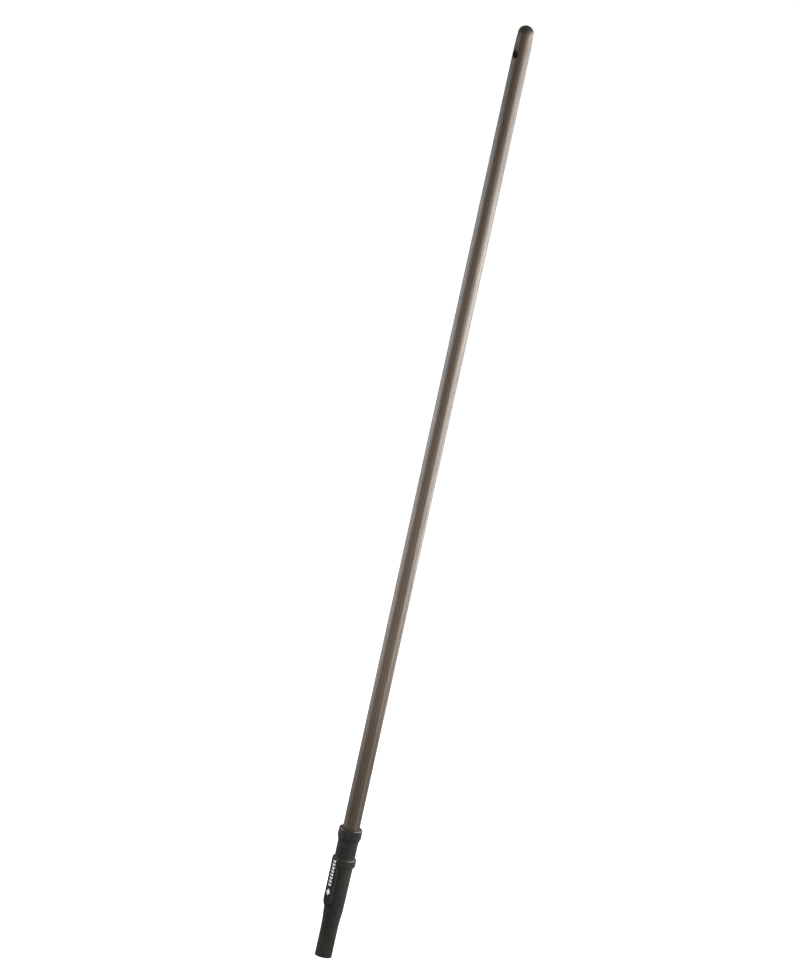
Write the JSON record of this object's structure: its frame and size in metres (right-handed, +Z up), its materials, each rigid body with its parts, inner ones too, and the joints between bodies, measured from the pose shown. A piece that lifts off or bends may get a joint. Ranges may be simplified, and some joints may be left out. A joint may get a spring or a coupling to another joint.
{
  "type": "roller extension pole",
  "caption": "Fixed-length wooden pole with a domed top, a hanging hole and a black plastic push-in plug with a label pad, for a roller or brush head.",
  "frame": {"origin": "centre of the plug's end face", "axes": "+Z up the pole from the plug to the dome, -Y out of the label and the front mouth of the hanging hole, +Y out of the retaining screw's head"},
  "size_m": [0.0372, 0.0373, 1.5],
  "materials": {
    "stained_wood": "dark brown stain under satin lacquer",
    "black_plastic": "finely textured, satin",
    "label_black": "smooth, semi-gloss",
    "label_white": "printed, matt",
    "screw_steel": "zinc plated"
  },
  "bodies": {
    "root": {"wooden_shaft": "stained_wood", "adapter_sleeve": "black_plastic", "label_ring": "black_plastic", "label_plate": "label_black", "label_marks": "label_white", "retaining_screw": "screw_steel"}
  },
  "joints": []
}
